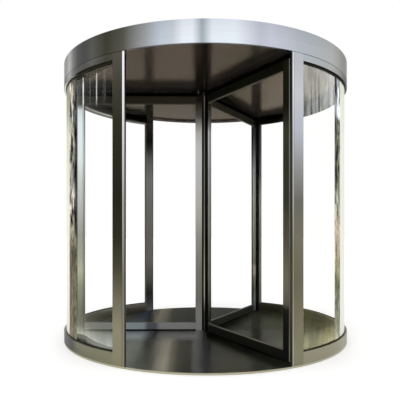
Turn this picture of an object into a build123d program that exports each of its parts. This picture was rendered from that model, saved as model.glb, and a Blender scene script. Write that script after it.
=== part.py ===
from build123d import *
import math
import os

# Revolving door with three wings. Millimetres, +Z up. The origin is the centre of the underside of
# the round floor. The front opening faces -Y and the back opening +Y, so a person walks along Y.
# Angles round the door are counted from the front (-Y) towards +X.

# Round outline of the standing frame
outer_radius = 1260.0
frame_depth = 52.0
floor_thickness = 14.0
edge_trim_width = 6.0
clear_height = 2198.0
fascia_height = 163.0
fascia_thickness = 3.0
fascia_lip = 20.0
ceiling_recess = 21.0
ceiling_thickness = 3.0
roof_thickness = 3.0
seat_gap = 0.3

# Side walls
opening_half_angle = 27.4
post_width = 110.0
base_rail_height = 102.0
head_rail_height = 49.0
glass_setback = 20.0
glass_thickness = 12.0
glass_bite = 10.0
glass_joint = 3.0

# Revolving wings
wing_count = 3
first_wing_angle = 30.0
wing_thickness = 30.0
inner_stile_width = 57.0
outer_stile_width = 76.0
wing_floor_gap = 10.0
wing_ceiling_gap = 44.0
rail_height = 67.0
wing_glass_thickness = 10.0
wing_glass_bite = 12.0
bead_width = 16.0
bead_depth = 6.0
brush_thickness = 12.0
edge_brush_length = 9.0
moving_clearance = 6.0

# Central shaft and its two bearings
shaft_radius = 22.0
shaft_key_width = 12.0
shaft_key_length = 7.0
journal_radius = 15.0
journal_clearance = 0.05
journal_end_gap = 1.0
pivot_wall = 6.0
pivot_height = 6.0
bearing_wall = 45.0
bearing_height = 14.0

# Heights and radii that follow from the sizes above
fascia_bottom = floor_thickness + clear_height
fascia_top = fascia_bottom + fascia_height
ceiling_z = fascia_bottom + ceiling_recess
roof_z = fascia_top - roof_thickness
head_rail_bottom = fascia_bottom - head_rail_height
inner_radius = outer_radius - frame_depth
lip_radius = outer_radius - fascia_lip
glass_outer_radius = outer_radius - glass_setback
glass_inner_radius = glass_outer_radius - glass_thickness
glass_bottom = base_rail_height - glass_bite
glass_top = head_rail_bottom + glass_bite
wing_bottom = floor_thickness + wing_floor_gap
wing_top = ceiling_z - wing_ceiling_gap
brush_tip_radius = inner_radius - moving_clearance
wing_tip_radius = brush_tip_radius - edge_brush_length
inner_stile_start = shaft_radius + shaft_key_length
bearing_bore = journal_radius + journal_clearance
pivot_radius = bearing_bore + pivot_wall
bearing_radius = bearing_bore + bearing_wall

os.makedirs("parts", exist_ok=True)


def save(shape, name):
    export_step(shape, "parts/" + name + ".step")


def ring(outside, inside, bottom, height):
    """Round ring or, with no inside radius, a round plate."""
    disc = Pos(0, 0, bottom) * Cylinder(outside, height, align=(Align.CENTER, Align.CENTER, Align.MIN))
    if inside:
        disc -= Pos(0, 0, bottom - 1) * Cylinder(
            inside, height + 2, align=(Align.CENTER, Align.CENTER, Align.MIN)
        )
    return disc


def at_angle(radius, angle):
    """Point in plan at a radius and an angle counted from the front."""
    turn = math.radians(angle)
    return (radius * math.sin(turn), -radius * math.cos(turn))


def sector(outside, inside, start, end, bottom, height):
    """Piece of a ring between two angles."""
    a = at_angle(outside, start)
    b = at_angle(outside, (start + end) / 2)
    c = at_angle(outside, end)
    d = at_angle(inside, end)
    e = at_angle(inside, (start + end) / 2)
    f = at_angle(inside, start)
    outline = ThreePointArc(a, b, c) + Line(c, d) + ThreePointArc(d, e, f) + Line(f, a)
    return Pos(0, 0, bottom) * extrude(make_face(outline), height)


def prism(points, bottom, height):
    """Upright prism on a closed outline of straight sides."""
    return Pos(0, 0, bottom) * extrude(make_face(Polyline(*points, close=True)), height)


def in_wing(shape, angle):
    """Turn a piece drawn along +X into the plane of the wing at an angle."""
    return Rot(0, 0, angle - 90) * shape


def wing_box(start, end, thickness, bottom, top):
    """Upright block in a wing drawn along +X, centred on its plane."""
    return Pos(start, 0, bottom) * Box(
        end - start, thickness, top - bottom, align=(Align.MIN, Align.CENTER, Align.MIN)
    )


# The posts: a flat outer face on the circle, and a jamb that runs straight through along Y
post_angle = 2 * math.degrees(math.asin(post_width / 2 / outer_radius))
wall_start = opening_half_angle + post_angle
post_middle = opening_half_angle + post_angle / 2


def post_outline():
    """Plan of the front right post, with the two corners of its jamb first and last."""
    jamb_outer = at_angle(outer_radius, opening_half_angle)
    wall_outer = at_angle(outer_radius, wall_start)
    wall_inner = at_angle(inner_radius, wall_start)
    jamb_inner = (jamb_outer[0], -math.sqrt(inner_radius**2 - jamb_outer[0] ** 2))
    return [jamb_outer, wall_outer, wall_inner, jamb_inner]


def build_posts():
    """The front right post and its mirror images. Behind the fascia's lip they reach the ceiling."""
    outline = post_outline()
    right_front = prism(outline, floor_thickness, fascia_bottom - floor_thickness)
    behind_lip = ring(lip_radius - seat_gap, 0, fascia_bottom, ceiling_recess)
    right_front += prism(outline, fascia_bottom, ceiling_recess) & behind_lip
    right_back = mirror(right_front, Plane.XZ)
    save(right_front, "front_right_post")
    save(right_back, "back_right_post")
    save(mirror(right_front, Plane.YZ), "front_left_post")
    save(mirror(right_back, Plane.YZ), "back_left_post")


def wall_sector(outside, inside, bottom, height):
    """Piece of the right wall from post to post."""
    return sector(outside, inside, wall_start, 180 - wall_start, bottom, height)


def build_rails():
    """Curved rails with a channel for the glass. The head rail carries the ceiling behind the lip."""
    channel = wall_sector(
        glass_outer_radius + seat_gap,
        glass_inner_radius - seat_gap,
        glass_bottom - seat_gap,
        glass_top - glass_bottom + 2 * seat_gap,
    )
    base = wall_sector(outer_radius, inner_radius, floor_thickness, base_rail_height - floor_thickness)
    head = wall_sector(outer_radius, inner_radius, head_rail_bottom, head_rail_height)
    head += wall_sector(lip_radius - seat_gap, inner_radius, fascia_bottom, ceiling_recess)
    for name, rail in (("base_rail", base - channel), ("head_rail", head - channel)):
        save(rail, "right_" + name)
        save(mirror(rail, Plane.YZ), "left_" + name)


def build_wall_glass():
    """Two curved lights a side, butted with a fine joint half way round the wall."""
    joint_angle = math.degrees(glass_joint / 2 / glass_outer_radius)
    end_angle = math.degrees(seat_gap / glass_outer_radius)
    light = sector(
        glass_outer_radius,
        glass_inner_radius,
        wall_start + end_angle,
        90 - joint_angle,
        glass_bottom,
        glass_top - glass_bottom,
    )
    back_light = mirror(light, Plane.XZ)
    save(light, "right_front_glass")
    save(back_light, "right_back_glass")
    save(mirror(light, Plane.YZ), "left_front_glass")
    save(mirror(back_light, Plane.YZ), "left_back_glass")


def build_floor():
    plate = ring(outer_radius - edge_trim_width, 0, 0, floor_thickness)
    save(plate, "floor_plate")
    save(ring(outer_radius, outer_radius - edge_trim_width, 0, floor_thickness), "floor_edge_trim")
    save(ring(pivot_radius, bearing_bore, floor_thickness, pivot_height), "floor_pivot")


def build_canopy():
    """Fascia in four bent lengths that meet above the middle of the posts."""
    seam = post_middle
    pieces = (
        ("front_fascia", -seam, seam),
        ("right_fascia", seam, 180 - seam),
        ("back_fascia", 180 - seam, 180 + seam),
        ("left_fascia", 180 + seam, 360 - seam),
    )
    inner_face = outer_radius - fascia_thickness
    return_face = lip_radius + fascia_thickness
    for name, start, end in pieces:
        band = sector(outer_radius, inner_face, start, end, fascia_bottom, fascia_height)
        lip = sector(outer_radius, lip_radius, start, end, fascia_bottom, fascia_thickness)
        return_edge = sector(return_face, lip_radius, start, end, fascia_bottom, ceiling_recess)
        save(band + lip + return_edge, name)
    save(ring(inner_face, 0, ceiling_z, ceiling_thickness), "ceiling_plate")
    save(ring(inner_face, 0, roof_z, roof_thickness), "roof_plate")


def build_shaft():
    shaft_bottom = floor_thickness + pivot_height + journal_end_gap
    shaft_top = ceiling_z - bearing_height - journal_end_gap
    shaft = ring(shaft_radius, 0, shaft_bottom, shaft_top - shaft_bottom)
    for index in range(wing_count):
        key = wing_box(0, inner_stile_start, shaft_key_width, wing_bottom, wing_top)
        shaft += in_wing(key, first_wing_angle + index * 360 / wing_count)
    journal_bottom = floor_thickness + journal_end_gap
    journal_top = ceiling_z - journal_end_gap
    shaft += ring(journal_radius, 0, journal_bottom, journal_top - journal_bottom)
    save(shaft, "center_shaft")
    bearing = ring(bearing_radius, bearing_bore, ceiling_z - bearing_height, bearing_height)
    save(bearing, "upper_bearing")


def build_wing(prefix, angle):
    stile_end = inner_stile_start + inner_stile_width
    outer_start = wing_tip_radius - outer_stile_width
    sight_bottom = wing_bottom + rail_height
    sight_top = wing_top - rail_height
    inner = wing_box(inner_stile_start, stile_end, wing_thickness, wing_bottom, wing_top)
    outer = wing_box(outer_start, wing_tip_radius, wing_thickness, wing_bottom, wing_top)
    bottom = wing_box(stile_end, outer_start, wing_thickness, wing_bottom, sight_bottom)
    top = wing_box(stile_end, outer_start, wing_thickness, sight_top, wing_top)
    pane = wing_box(
        stile_end - wing_glass_bite,
        outer_start + wing_glass_bite,
        wing_glass_thickness,
        sight_bottom - wing_glass_bite,
        sight_top + wing_glass_bite,
    )
    groove = wing_box(
        stile_end - wing_glass_bite - seat_gap,
        outer_start + wing_glass_bite + seat_gap,
        wing_glass_thickness + 2 * seat_gap,
        sight_bottom - wing_glass_bite - seat_gap,
        sight_top + wing_glass_bite + seat_gap,
    )
    frame = {"inner_stile": inner, "outer_stile": outer, "bottom_rail": bottom, "top_rail": top}
    for name, member in frame.items():
        save(in_wing(member - groove, angle), prefix + "_" + name)
    save(in_wing(pane, angle), prefix + "_glass")

    bead_frame = wing_box(stile_end, outer_start, bead_depth, sight_bottom, sight_top)
    bead_frame -= wing_box(
        stile_end + bead_width,
        outer_start - bead_width,
        bead_depth,
        sight_bottom + bead_width,
        sight_top - bead_width,
    )
    bead_offset = wing_glass_thickness / 2 + bead_depth / 2
    beads = Pos(0, bead_offset, 0) * bead_frame + Pos(0, -bead_offset, 0) * bead_frame
    save(in_wing(beads, angle), prefix + "_glazing_beads")

    brush_bottom = floor_thickness + moving_clearance
    brush_top = ceiling_z - moving_clearance
    bottom_brush = wing_box(stile_end, wing_tip_radius, brush_thickness, brush_bottom, wing_bottom)
    top_start = bearing_radius + moving_clearance
    top_brush = wing_box(top_start, wing_tip_radius, brush_thickness, wing_top, brush_top)
    edge_brush = wing_box(wing_tip_radius, brush_tip_radius, brush_thickness, brush_bottom, brush_top)
    save(in_wing(bottom_brush + edge_brush + top_brush, angle), prefix + "_edge_brushes")


build_floor()
build_posts()
build_rails()
build_wall_glass()
build_canopy()
build_shaft()
for index in range(wing_count):
    build_wing("wing_" + str(index + 1), first_wing_angle + index * 360 / wing_count)
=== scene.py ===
import math
import bpy
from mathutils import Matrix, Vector


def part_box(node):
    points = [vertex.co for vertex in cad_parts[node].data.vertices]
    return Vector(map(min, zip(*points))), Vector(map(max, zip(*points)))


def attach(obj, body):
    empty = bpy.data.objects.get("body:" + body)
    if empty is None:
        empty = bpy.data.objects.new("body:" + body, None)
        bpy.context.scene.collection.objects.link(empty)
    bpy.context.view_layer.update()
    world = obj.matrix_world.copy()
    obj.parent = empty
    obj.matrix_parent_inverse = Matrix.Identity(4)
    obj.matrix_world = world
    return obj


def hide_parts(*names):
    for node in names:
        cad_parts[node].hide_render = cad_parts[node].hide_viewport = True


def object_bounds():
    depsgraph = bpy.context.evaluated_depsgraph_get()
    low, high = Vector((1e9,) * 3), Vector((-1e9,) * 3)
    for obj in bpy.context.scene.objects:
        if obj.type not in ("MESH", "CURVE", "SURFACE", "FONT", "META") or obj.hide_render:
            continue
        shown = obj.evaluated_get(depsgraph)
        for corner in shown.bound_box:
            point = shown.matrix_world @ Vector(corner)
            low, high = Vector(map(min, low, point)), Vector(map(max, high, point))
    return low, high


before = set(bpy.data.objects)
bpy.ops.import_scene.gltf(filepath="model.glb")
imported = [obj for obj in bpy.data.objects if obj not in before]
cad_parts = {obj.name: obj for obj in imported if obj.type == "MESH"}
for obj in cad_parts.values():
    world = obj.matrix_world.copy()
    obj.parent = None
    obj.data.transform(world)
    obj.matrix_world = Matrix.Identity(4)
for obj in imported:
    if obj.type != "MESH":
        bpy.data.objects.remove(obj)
cadLow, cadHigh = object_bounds()  # the box that every piece stays inside
print("stage: frame loaded with", len(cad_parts), "nodes")


# Sizes, all in metres, read from the frame

radius = cadHigh.x
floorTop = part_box("floor_plate")[1].z
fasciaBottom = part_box("front_fascia")[0].z
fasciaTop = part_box("front_fascia")[1].z
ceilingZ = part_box("ceiling_plate")[0].z
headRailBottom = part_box("left_head_rail")[0].z
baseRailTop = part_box("left_base_rail")[1].z
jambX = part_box("front_right_post")[0].x
openAngle = math.asin(jambX / radius)
wallAngle = math.asin(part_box("front_right_post")[1].x / radius)
seamAngle = (openAngle + wallAngle) / 2
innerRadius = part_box("right_base_rail")[0].x / math.sin(wallAngle)
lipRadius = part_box("right_fascia")[0].x / math.sin(seamAngle)
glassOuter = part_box("right_front_glass")[1].x
quarterTurn = math.pi / 2

wings = {"wing_1": 30, "wing_2": 150, "wing_3": 270}  # degrees from the front, towards +X


# Modelling by hand

arc = {"step": math.radians(0.75), "sides": 96}
soft = {"edge": 0.001, "turned": 0.0008, "sharp": math.radians(35), "smooth": math.radians(50)}


def clearSelection():
    if bpy.context.object and bpy.context.object.mode != "OBJECT":
        bpy.ops.object.mode_set(mode="OBJECT")
    bpy.ops.object.select_all(action="DESELECT")


def pick(piece):
    clearSelection()
    piece.select_set(True)
    bpy.context.view_layer.objects.active = piece


def editAll(piece, kind):
    pick(piece)
    bpy.ops.object.mode_set(mode="EDIT")
    bpy.ops.mesh.select_mode(type=kind)
    bpy.ops.mesh.select_all(action="SELECT")


def cleanUp(piece):  # merge doubles, then turn every face outwards
    editAll(piece, "VERT")
    bpy.ops.mesh.remove_doubles(threshold=0.00001)
    bpy.ops.mesh.normals_make_consistent(inside=False)
    bpy.ops.object.mode_set(mode="OBJECT")


def placeInMesh(piece):  # the object goes back to the origin and its mesh keeps the place
    pick(piece)
    bpy.ops.object.transform_apply(location=True, rotation=True, scale=True)


def addModifier(piece, kind, values):
    pick(piece)
    modifier = piece.modifiers.new(kind.lower(), kind)
    for key, value in values.items():
        setattr(modifier, key, value)
    bpy.ops.object.modifier_apply(modifier=modifier.name)


def softenEdges(piece, width, segments=2):
    addModifier(piece, "BEVEL", {
        "width": width,
        "segments": segments,
        "limit_method": "ANGLE",
        "angle_limit": soft["sharp"],
    })
    pick(piece)
    bpy.ops.object.shade_smooth_by_angle(angle=soft["smooth"])
    addModifier(piece, "WEIGHTED_NORMAL", {"weight": 100, "keep_sharp": True})


def inPlan(distance, angle, height):  # a point at an angle counted from the front
    return Vector((distance * math.sin(angle), -distance * math.cos(angle), height))


def drawFace(name, corners, rimOnly=False):  # one point drawn out along the corners, then filled
    clearSelection()
    bpy.ops.mesh.primitive_plane_add(size=0.01, location=(0, 0, 0))
    piece = bpy.context.object
    piece.name = name
    editAll(piece, "VERT")
    bpy.ops.mesh.merge(type="CENTER")
    bpy.ops.transform.translate(value=corners[0])
    for here, there in zip(corners, corners[1:]):
        bpy.ops.mesh.extrude_region_move(TRANSFORM_OT_translate={"value": there - here})
    bpy.ops.mesh.select_all(action="SELECT")
    bpy.ops.mesh.edge_face_add()
    if rimOnly:
        bpy.ops.mesh.delete(type="ONLY_FACE")
    bpy.ops.object.mode_set(mode="OBJECT")
    return piece


def finishShape(piece, bevel):
    cleanUp(piece)
    softenEdges(piece, bevel)
    return piece


def spinRound(piece, steps, angle, bevel):  # a drawn section, swept about the door's axis
    editAll(piece, "VERT")
    bpy.ops.mesh.spin(steps=steps, angle=angle, center=(0, 0, 0), axis=(0, 0, 1))
    return finishShape(piece, bevel)


def pullOut(piece, shift, bevel):  # a drawn outline, pulled straight
    editAll(piece, "VERT")
    bpy.ops.mesh.extrude_region_move(TRANSFORM_OT_translate={"value": shift})
    return finishShape(piece, bevel)


def bendSection(name, section, start, end, bevel=soft["edge"]):  # a ring's part, from (distance, height)
    piece = drawFace(name, [inPlan(distance, start, height) for distance, height in section])
    return spinRound(piece, max(2, round((end - start) / arc["step"])), start - end, bevel)


def turnSection(name, section, sides=arc["sides"], bevel=soft["turned"]):  # a whole ring
    piece = drawFace(name, [inPlan(distance, 0, height) for distance, height in section], rimOnly=True)
    return spinRound(piece, sides, math.tau, bevel)


def raiseOutline(name, outline, bottom, top, bevel=soft["edge"]):  # a plan outline of (x, y), upwards
    piece = drawFace(name, [Vector((x, y, bottom)) for x, y in outline])
    return pullOut(piece, (0, 0, top - bottom), bevel)


def runOutline(name, outline, start, end, bevel=soft["edge"]):  # an outline of (y, z), along X
    piece = drawFace(name, [Vector((start, y, z)) for y, z in outline])
    return pullOut(piece, (end - start, 0, 0), bevel)


def addCube(name, place, size):
    clearSelection()
    bpy.ops.mesh.primitive_cube_add(size=1, location=place, scale=size)
    piece = bpy.context.object
    piece.name = name
    placeInMesh(piece)
    return piece


def block(name, low, high, bevel=soft["edge"]):  # a cube between two corners
    low, high = Vector(low), Vector(high)
    piece = addCube(name, (low + high) / 2, high - low)
    softenEdges(piece, bevel)
    return piece


def joinPieces(name, pieces):
    clearSelection()
    for piece in pieces:
        piece.select_set(True)
    bpy.context.view_layer.objects.active = pieces[0]
    bpy.ops.object.join()
    pieces[0].name = name
    return pieces[0]


def copyPiece(piece, name, turn=0.0, flip=(1, 1, 1)):  # turned or mirrored about the door's axis
    twin = piece.copy()
    twin.data = piece.data.copy()
    twin.name = name
    bpy.context.scene.collection.objects.link(twin)
    twin.rotation_euler.z = turn
    twin.scale = flip
    placeInMesh(twin)
    if math.prod(flip) < 0:
        cleanUp(twin)
    return twin


def coat(piece, finish):
    piece.data.materials.clear()
    piece.data.materials.append(finish)


def finishPiece(piece, body, slot, finish, *nodes):
    coat(piece, finish)
    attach(piece, body)
    if nodes:
        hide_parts(*nodes)


clearSelection()


# Finishes: colours are written as they look on a screen, from 0 to 255

def paint(*tone):
    straight = []
    for share in [value / 255 for value in tone]:
        straight.append(share / 12.92 if share <= 0.04045 else ((share + 0.055) / 1.055) ** 2.4)
    return (*straight, 1.0)


scratch = 0.0003  # how deep the grain of steel and rubber goes


def evenly(*tone):  # one tone, or one level, from end to end
    return [(0, *tone), (2.4, *tone)]


class Wire:  # an output that can be used in sums
    def __init__(self, finish, socket):
        self.finish = finish
        self.socket = socket

    def __add__(self, other):
        return self.finish.work("ADD", self, other)

    def __radd__(self, other):
        return self.finish.work("ADD", other, self)

    def __sub__(self, other):
        return self.finish.work("SUBTRACT", self, other)

    def __rsub__(self, other):
        return self.finish.work("SUBTRACT", other, self)

    def __mul__(self, other):
        return self.finish.work("MULTIPLY", self, other)

    def __rmul__(self, other):
        return self.finish.work("MULTIPLY", other, self)

    def __pow__(self, other):
        return self.finish.work("POWER", self, other)


class Finish:  # one material, or the world, and the nodes that make it
    def __init__(self, owner, end="ShaderNodeOutputMaterial"):
        self.owner = owner
        owner.use_nodes = True
        self.tree = owner.node_tree
        self.tree.nodes.clear()
        self.output = self.tree.nodes.new(end)

    def add(self, kind, settings, sockets, result=0):
        node = self.tree.nodes.new(kind)
        for key, value in settings.items():
            if key == "stops":
                self.setStops(node.color_ramp, value)
            else:
                setattr(node, key, value)
        for key, value in sockets.items():
            if isinstance(value, Wire):
                self.tree.links.new(value.socket, node.inputs[key])
            else:
                node.inputs[key].default_value = value
        return Wire(self, node.outputs[result])

    def setStops(self, ramp, stops):
        ramp.elements.remove(ramp.elements[-1])
        ramp.elements[0].position = stops[0][0]
        ramp.elements[0].color = stops[0][1]
        for place, colour in stops[1:]:
            ramp.elements.new(place).color = colour

    def work(self, how, first, second=0.0):
        return self.add("ShaderNodeMath", {"operation": how}, {0: first, 1: second})

    def share(self, value, low, high):  # 0 at low, 1 at high
        return self.add("ShaderNodeMapRange", {}, {"Value": value, "From Min": low, "From Max": high})

    def flat(self, x, y):  # a pattern laid out in two directions
        return self.add("ShaderNodeCombineXYZ", {}, {"X": x, "Y": y})

    def noise(self, where, scale=1.0, detail=2.0, rough=0.5):
        sockets = {"Vector": where, "Scale": scale, "Detail": detail, "Roughness": rough}
        return self.add("ShaderNodeTexNoise", {}, sockets, "Fac")

    def ramp(self, value, stops):  # stops are (place, colour), with places in the value's own unit
        low, high = stops[0][0], stops[-1][0]
        even = [((place - low) / (high - low), colour) for place, colour in stops]
        return self.add("ShaderNodeValToRGB", {"stops": even}, {"Fac": self.share(value, low, high)})

    def tones(self, value, stops):
        return self.ramp(value, [(place, paint(*colour)) for place, *colour in stops])

    def levels(self, value, stops):
        return self.ramp(value, [(place, (level, level, level, 1.0)) for place, level in stops])

    def mix(self, factor, first, second):
        return self.add("ShaderNodeMix", {"data_type": "RGBA"}, {0: factor, 6: first, 7: second}, 2)

    def scaled(self, colour, factor):
        return self.add("ShaderNodeVectorMath", {"operation": "SCALE"}, {"Vector": colour, "Scale": factor})

    def bump(self, height, strength, distance):
        return self.add("ShaderNodeBump", {}, {"Height": height, "Strength": strength, "Distance": distance})

    def principled(self, sockets):
        return self.add("ShaderNodeBsdfPrincipled", {}, sockets)

    def places(self):  # the ways in which a tone can run over the door
        self.spot = self.add("ShaderNodeTexCoord", {}, {}, "Object")
        split = self.add("ShaderNodeSeparateXYZ", {}, {"Vector": self.spot})
        x, y, z = [Wire(self, split.socket.node.outputs[axis]) for axis in "XYZ"]
        turn = self.work("ARCTAN2", x, self.work("ABSOLUTE", y))
        return {
            "around": turn * (180 / math.pi), "arc": turn * radius, "height": z, "side": x, "depth": y,
            "reach": self.work("SQRT", x * x + y * y),
        }

    def done(self, shader):
        self.tree.links.new(shader.socket, self.output.inputs["Surface"])
        return self.owner


steelLook = {  # what a brushed steel has where its own look says nothing else
    "follow": "height", "grain": "round", "fine": 90, "long": 0.8, "contrast": 0.14, "uneven": 0.1,
    "bump": 0.05, "cloud": 3.0, "patches": 0.06, "metal": 1.0, "gloss": 0.0, "roughness": 0.3,
    "edge": (1, 1, 1, 1), "zones": [], "shade": {}, "innerShade": evenly(1), "outerSkin": (0.0032, 0.0028),
}


def brushedSteel(name, look):
    look = {**steelLook, **look}
    steel = Finish(bpy.data.materials.new(name))
    place = steel.places()
    # The tone ramps are painted reflections: the light and dark bands of what the steel mirrors, laid into
    # its colour by place.
    colour = steel.tones(place[look["follow"]], look["tones"])
    # Faces that look into the door take their own tones, which are painted shade and painted light.
    if "inner" in look:  # the faces that look into the door
        outside = steel.share(place["reach"], *[radius - depth for depth in look["outerSkin"]])
        inward = steel.tones(place["around"], look["inner"])
        inward = steel.scaled(inward, steel.levels(place["height"], look["innerShade"]))
        colour = steel.mix(outside, inward, colour)
    # Each zone holds further painted reflections for a range of depth.
    for low, high, tones in look["zones"]:  # other tones further back
        further = steel.share(place["depth"], low, high)
        colour = steel.mix(further, colour, steel.tones(place[look["follow"]], tones))
    light = 1.0
    # The shade runs are painted light and shade laid over the first tones.
    for across, stops in look["shade"].items():  # further runs of light and dark over the first
        light = light * steel.levels(place[across], stops)
    fine, long = look["fine"], look["long"]
    strokes = {
        "round": (place["arc"] * long, place["height"] * fine),
        "along": (place["reach"] * long, place["height"] * fine),
        "up": (place["reach"] * fine, place["height"] * long),
        "straight": (place["side"] * fine, place["depth"] * long),
    }
    grain = steel.noise(steel.flat(*strokes[look["grain"]]), rough=0.6)
    cloud = steel.noise(steel.spot, look["cloud"])
    # So light holds the painted shade runs times the steel's real grain and patches.
    light = light * (1 + (grain - 0.5) * look["contrast"] + (cloud - 0.5) * look["patches"])
    return steel.done(steel.principled({
        "Base Color": steel.scaled(colour, light),
        "Metallic": steel.levels(place["depth"], look["metalRun"]) if "metalRun" in look else look["metal"],
        "Specular IOR Level": look["gloss"],
        "Specular Tint": look["edge"],
        "Roughness": look["roughness"] + (grain - 0.5) * look["uneven"],
        "Normal": steel.bump(grain, look["bump"], scratch),
    }))


rubberLook = {
    "grains": 900.0, "darkest": 0.6, "contrast": 0.5, "roughness": 0.55, "uneven": 0.25, "bump": 0.2,
}


def blackRubber(name, tones, along="height"):
    rubber = Finish(bpy.data.materials.new(name))
    place = rubber.places()
    grains = rubber.noise(rubber.spot, rubberLook["grains"])
    light = rubberLook["darkest"] + grains * rubberLook["contrast"]
    return rubber.done(rubber.principled({
        "Base Color": rubber.scaled(rubber.tones(place[along], tones), light),
        "Roughness": rubberLook["roughness"] + grains * rubberLook["uneven"],
        "Specular IOR Level": 0.1,
        "Normal": rubber.bump(grains, rubberLook["bump"], scratch),
    }))


pileLook = {"fibres": 700.0, "dark": (2, 2, 1), "light": (14, 13, 11), "bump": 0.4, "deep": 0.001}


def brushPile(name):
    fibre = Finish(bpy.data.materials.new(name))
    fibre.places()
    fibres = fibre.noise(fibre.spot, pileLook["fibres"])
    return fibre.done(fibre.principled({
        "Base Color": fibre.mix(fibres, paint(*pileLook["dark"]), paint(*pileLook["light"])),
        "Roughness": 0.95,
        "Specular IOR Level": 0.0,
        "Normal": fibre.bump(fibres, pileLook["bump"], pileLook["deep"]),
    }))


glassLook = {"tint": (1, 1, 1, 1), "slant": (0.18, 0.3), "fall": 4.0}


def clearGlass(name, look):
    look = {**glassLook, **look}
    glass = Finish(bpy.data.materials.new(name))
    place = glass.places()
    height = place["height"]
    away = glass.work("ABSOLUTE", place["around"])

    def speckle(size, detail=2.0):  # noise with a size round the wall and a size upwards
        where = glass.flat(glass.work("ABSOLUTE", place["arc"]) * size[0], height * size[1])
        return glass.noise(where, detail=detail, rough=0.6)

    def mottling(size, detail=4.0):  # the same with clear patches, from -0.5 to 0.5
        return glass.share(speckle(size, detail), 0.36, 0.64) - 0.5

    facing = glass.add("ShaderNodeLayerWeight", {}, {"Blend": 0.5}, "Facing")
    clear = glass.add("ShaderNodeBsdfTransparent", {}, {"Color": look["tint"]})
    # The mirror's tint by height is a painted reflection colour.
    sheen = glass.tones(height, look["mirror"])
    mirror = glass.principled({"Base Color": sheen, "Metallic": 1.0, "Roughness": 0.03})
    # How much the glass mirrors is painted by height, with painted mottling: a painted reflection strength.
    paintedMirroring = glass.levels(height, look["paintedMirroring"])
    if "paintedMirroringMottle" in look:
        paintedMirroring = paintedMirroring * (1 + mottling(look["paintedMirroringMottleSize"]) * look["paintedMirroringMottle"])
    if "spread" in look:
        paintedMirroring = paintedMirroring * glass.levels(away, look["spread"])
    slant = glass.share(facing, *look["slant"])
    shine = look["shine"] * facing ** look["fall"] + paintedMirroring * slant
    # The strokes are painted reflections: upright bands where the glass mirrors more or less.
    if "strokes" in look:  # narrow upright strokes in what the glass mirrors
        broken = 1 + (speckle(look["strokeSize"]) - 0.5) * look["strokeBreak"]
        stroke = glass.levels(away, look["strokes"]) * glass.levels(height, look["strokeHeight"])
        shine = glass.share(shine + stroke * slant * broken * look["strokeLight"], 0, 1)
    if "skin" in look:  # the outer face alone mirrors, seen from outside, and the inner one stays clear
        back = glass.add("ShaderNodeNewGeometry", {}, {}, "Backfacing")
        skin = glass.share(place["reach"], *look["skin"]) * (1 - back)
        shine = shine * skin
    shader = glass.add("ShaderNodeMixShader", {}, {0: shine, 1: clear, 2: mirror})
    # That band is a painted reflection, with painted patches and speckle, runs painted darker across it and a
    # painted pale outline at the edge.
    if "paintedReflection" in look:  # seen almost edge-on it shows a mottled band of what stands beside it
        reflectionPatches = mottling(look["reflectionPatchSize"])
        light = 1 + reflectionPatches * glass.levels(height, look["reflectionPatchDepth"]) * look["reflectionPatchForce"]
        light = light + mottling(look["paintedSpeckleSize"], 3.0) * look["paintedSpeckle"]
        across = 1 - (1 - glass.levels(away, look["across"])) * glass.share(height, *look["acrossFrom"])
        drawn = glass.tones(height + reflectionPatches * look["mottle"], look["paintedReflection"])
        drawn = glass.scaled(drawn, glass.work("MAXIMUM", light, look["darkest"]) * across)
        outline = glass.tones(height, look["outline"])
        colour = glass.mix(glass.share(away, *look["edge"]), drawn, outline)
        paintedReflection = glass.principled({"Base Color": colour, "Roughness": 0.5, "Specular IOR Level": 0.0})
        lean = glass.share(height, *look["leanFrom"]) * look["lean"]
        band = glass.share(away + lean, *look["start"]) * glass.share(facing, *look["paintedReflectionSlant"])
        shader = glass.add("ShaderNodeMixShader", {}, {0: band * look["cover"] * skin, 1: shader, 2: paintedReflection})
    return glass.done(shader)


# Canopy

canopy = {"thick": 0.003, "bevel": 0.0012}

# The fascia's tones round the drum are painted reflections. Its inner lip is painted shade, and it is painted
# darker towards its top edge; the dark line at its foot is the seam with the head rails.
fasciaLook = {
    "follow": "around",
    "tones": [
        (-90, 112, 113, 108), (-76, 52, 52, 49), (-68, 40, 40, 37), (-65, 90, 90, 85), (-60, 168, 168, 166),
        (-56, 100, 100, 100), (-52, 48, 48, 48), (-47, 54, 54, 53), (-42, 82, 82, 77), (-35, 60, 58, 48),
        (-28, 88, 87, 76), (-20, 158, 160, 162), (-15, 192, 202, 213), (-11, 202, 209, 218),
        (-8, 234, 241, 249), (-5, 238, 243, 251), (-2, 162, 173, 180), (1, 232, 239, 247), (8, 233, 241, 249),
        (16, 194, 198, 211), (20, 201, 204, 219), (32, 179, 186, 193), (48, 172, 175, 174),
        (53, 154, 155, 150), (59, 104, 105, 101), (63, 44, 44, 42), (66, 24, 24, 22), (74, 50, 50, 47),
        (90, 116, 116, 110),
    ],
    "inner": evenly(40, 38, 34),
    "shade": {"height": [
        (2.15, 1), (2.2085, 1), (2.2095, 0.4), (2.2145, 0.4), (2.2155, 1), (2.29, 0.95), (2.375, 0.86),
    ]},
}
fasciaFinish = brushedSteel("fascia_steel", fasciaLook)
# The back fascia's inner faces are painted light, as bright as the ceiling beyond them.
fasciaBackFinish = brushedSteel("fascia_back_steel", {
    **fasciaLook, "metal": 0.6, "inner": [(-90, 160, 152, 146), (90, 150, 142, 134)],
})
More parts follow.
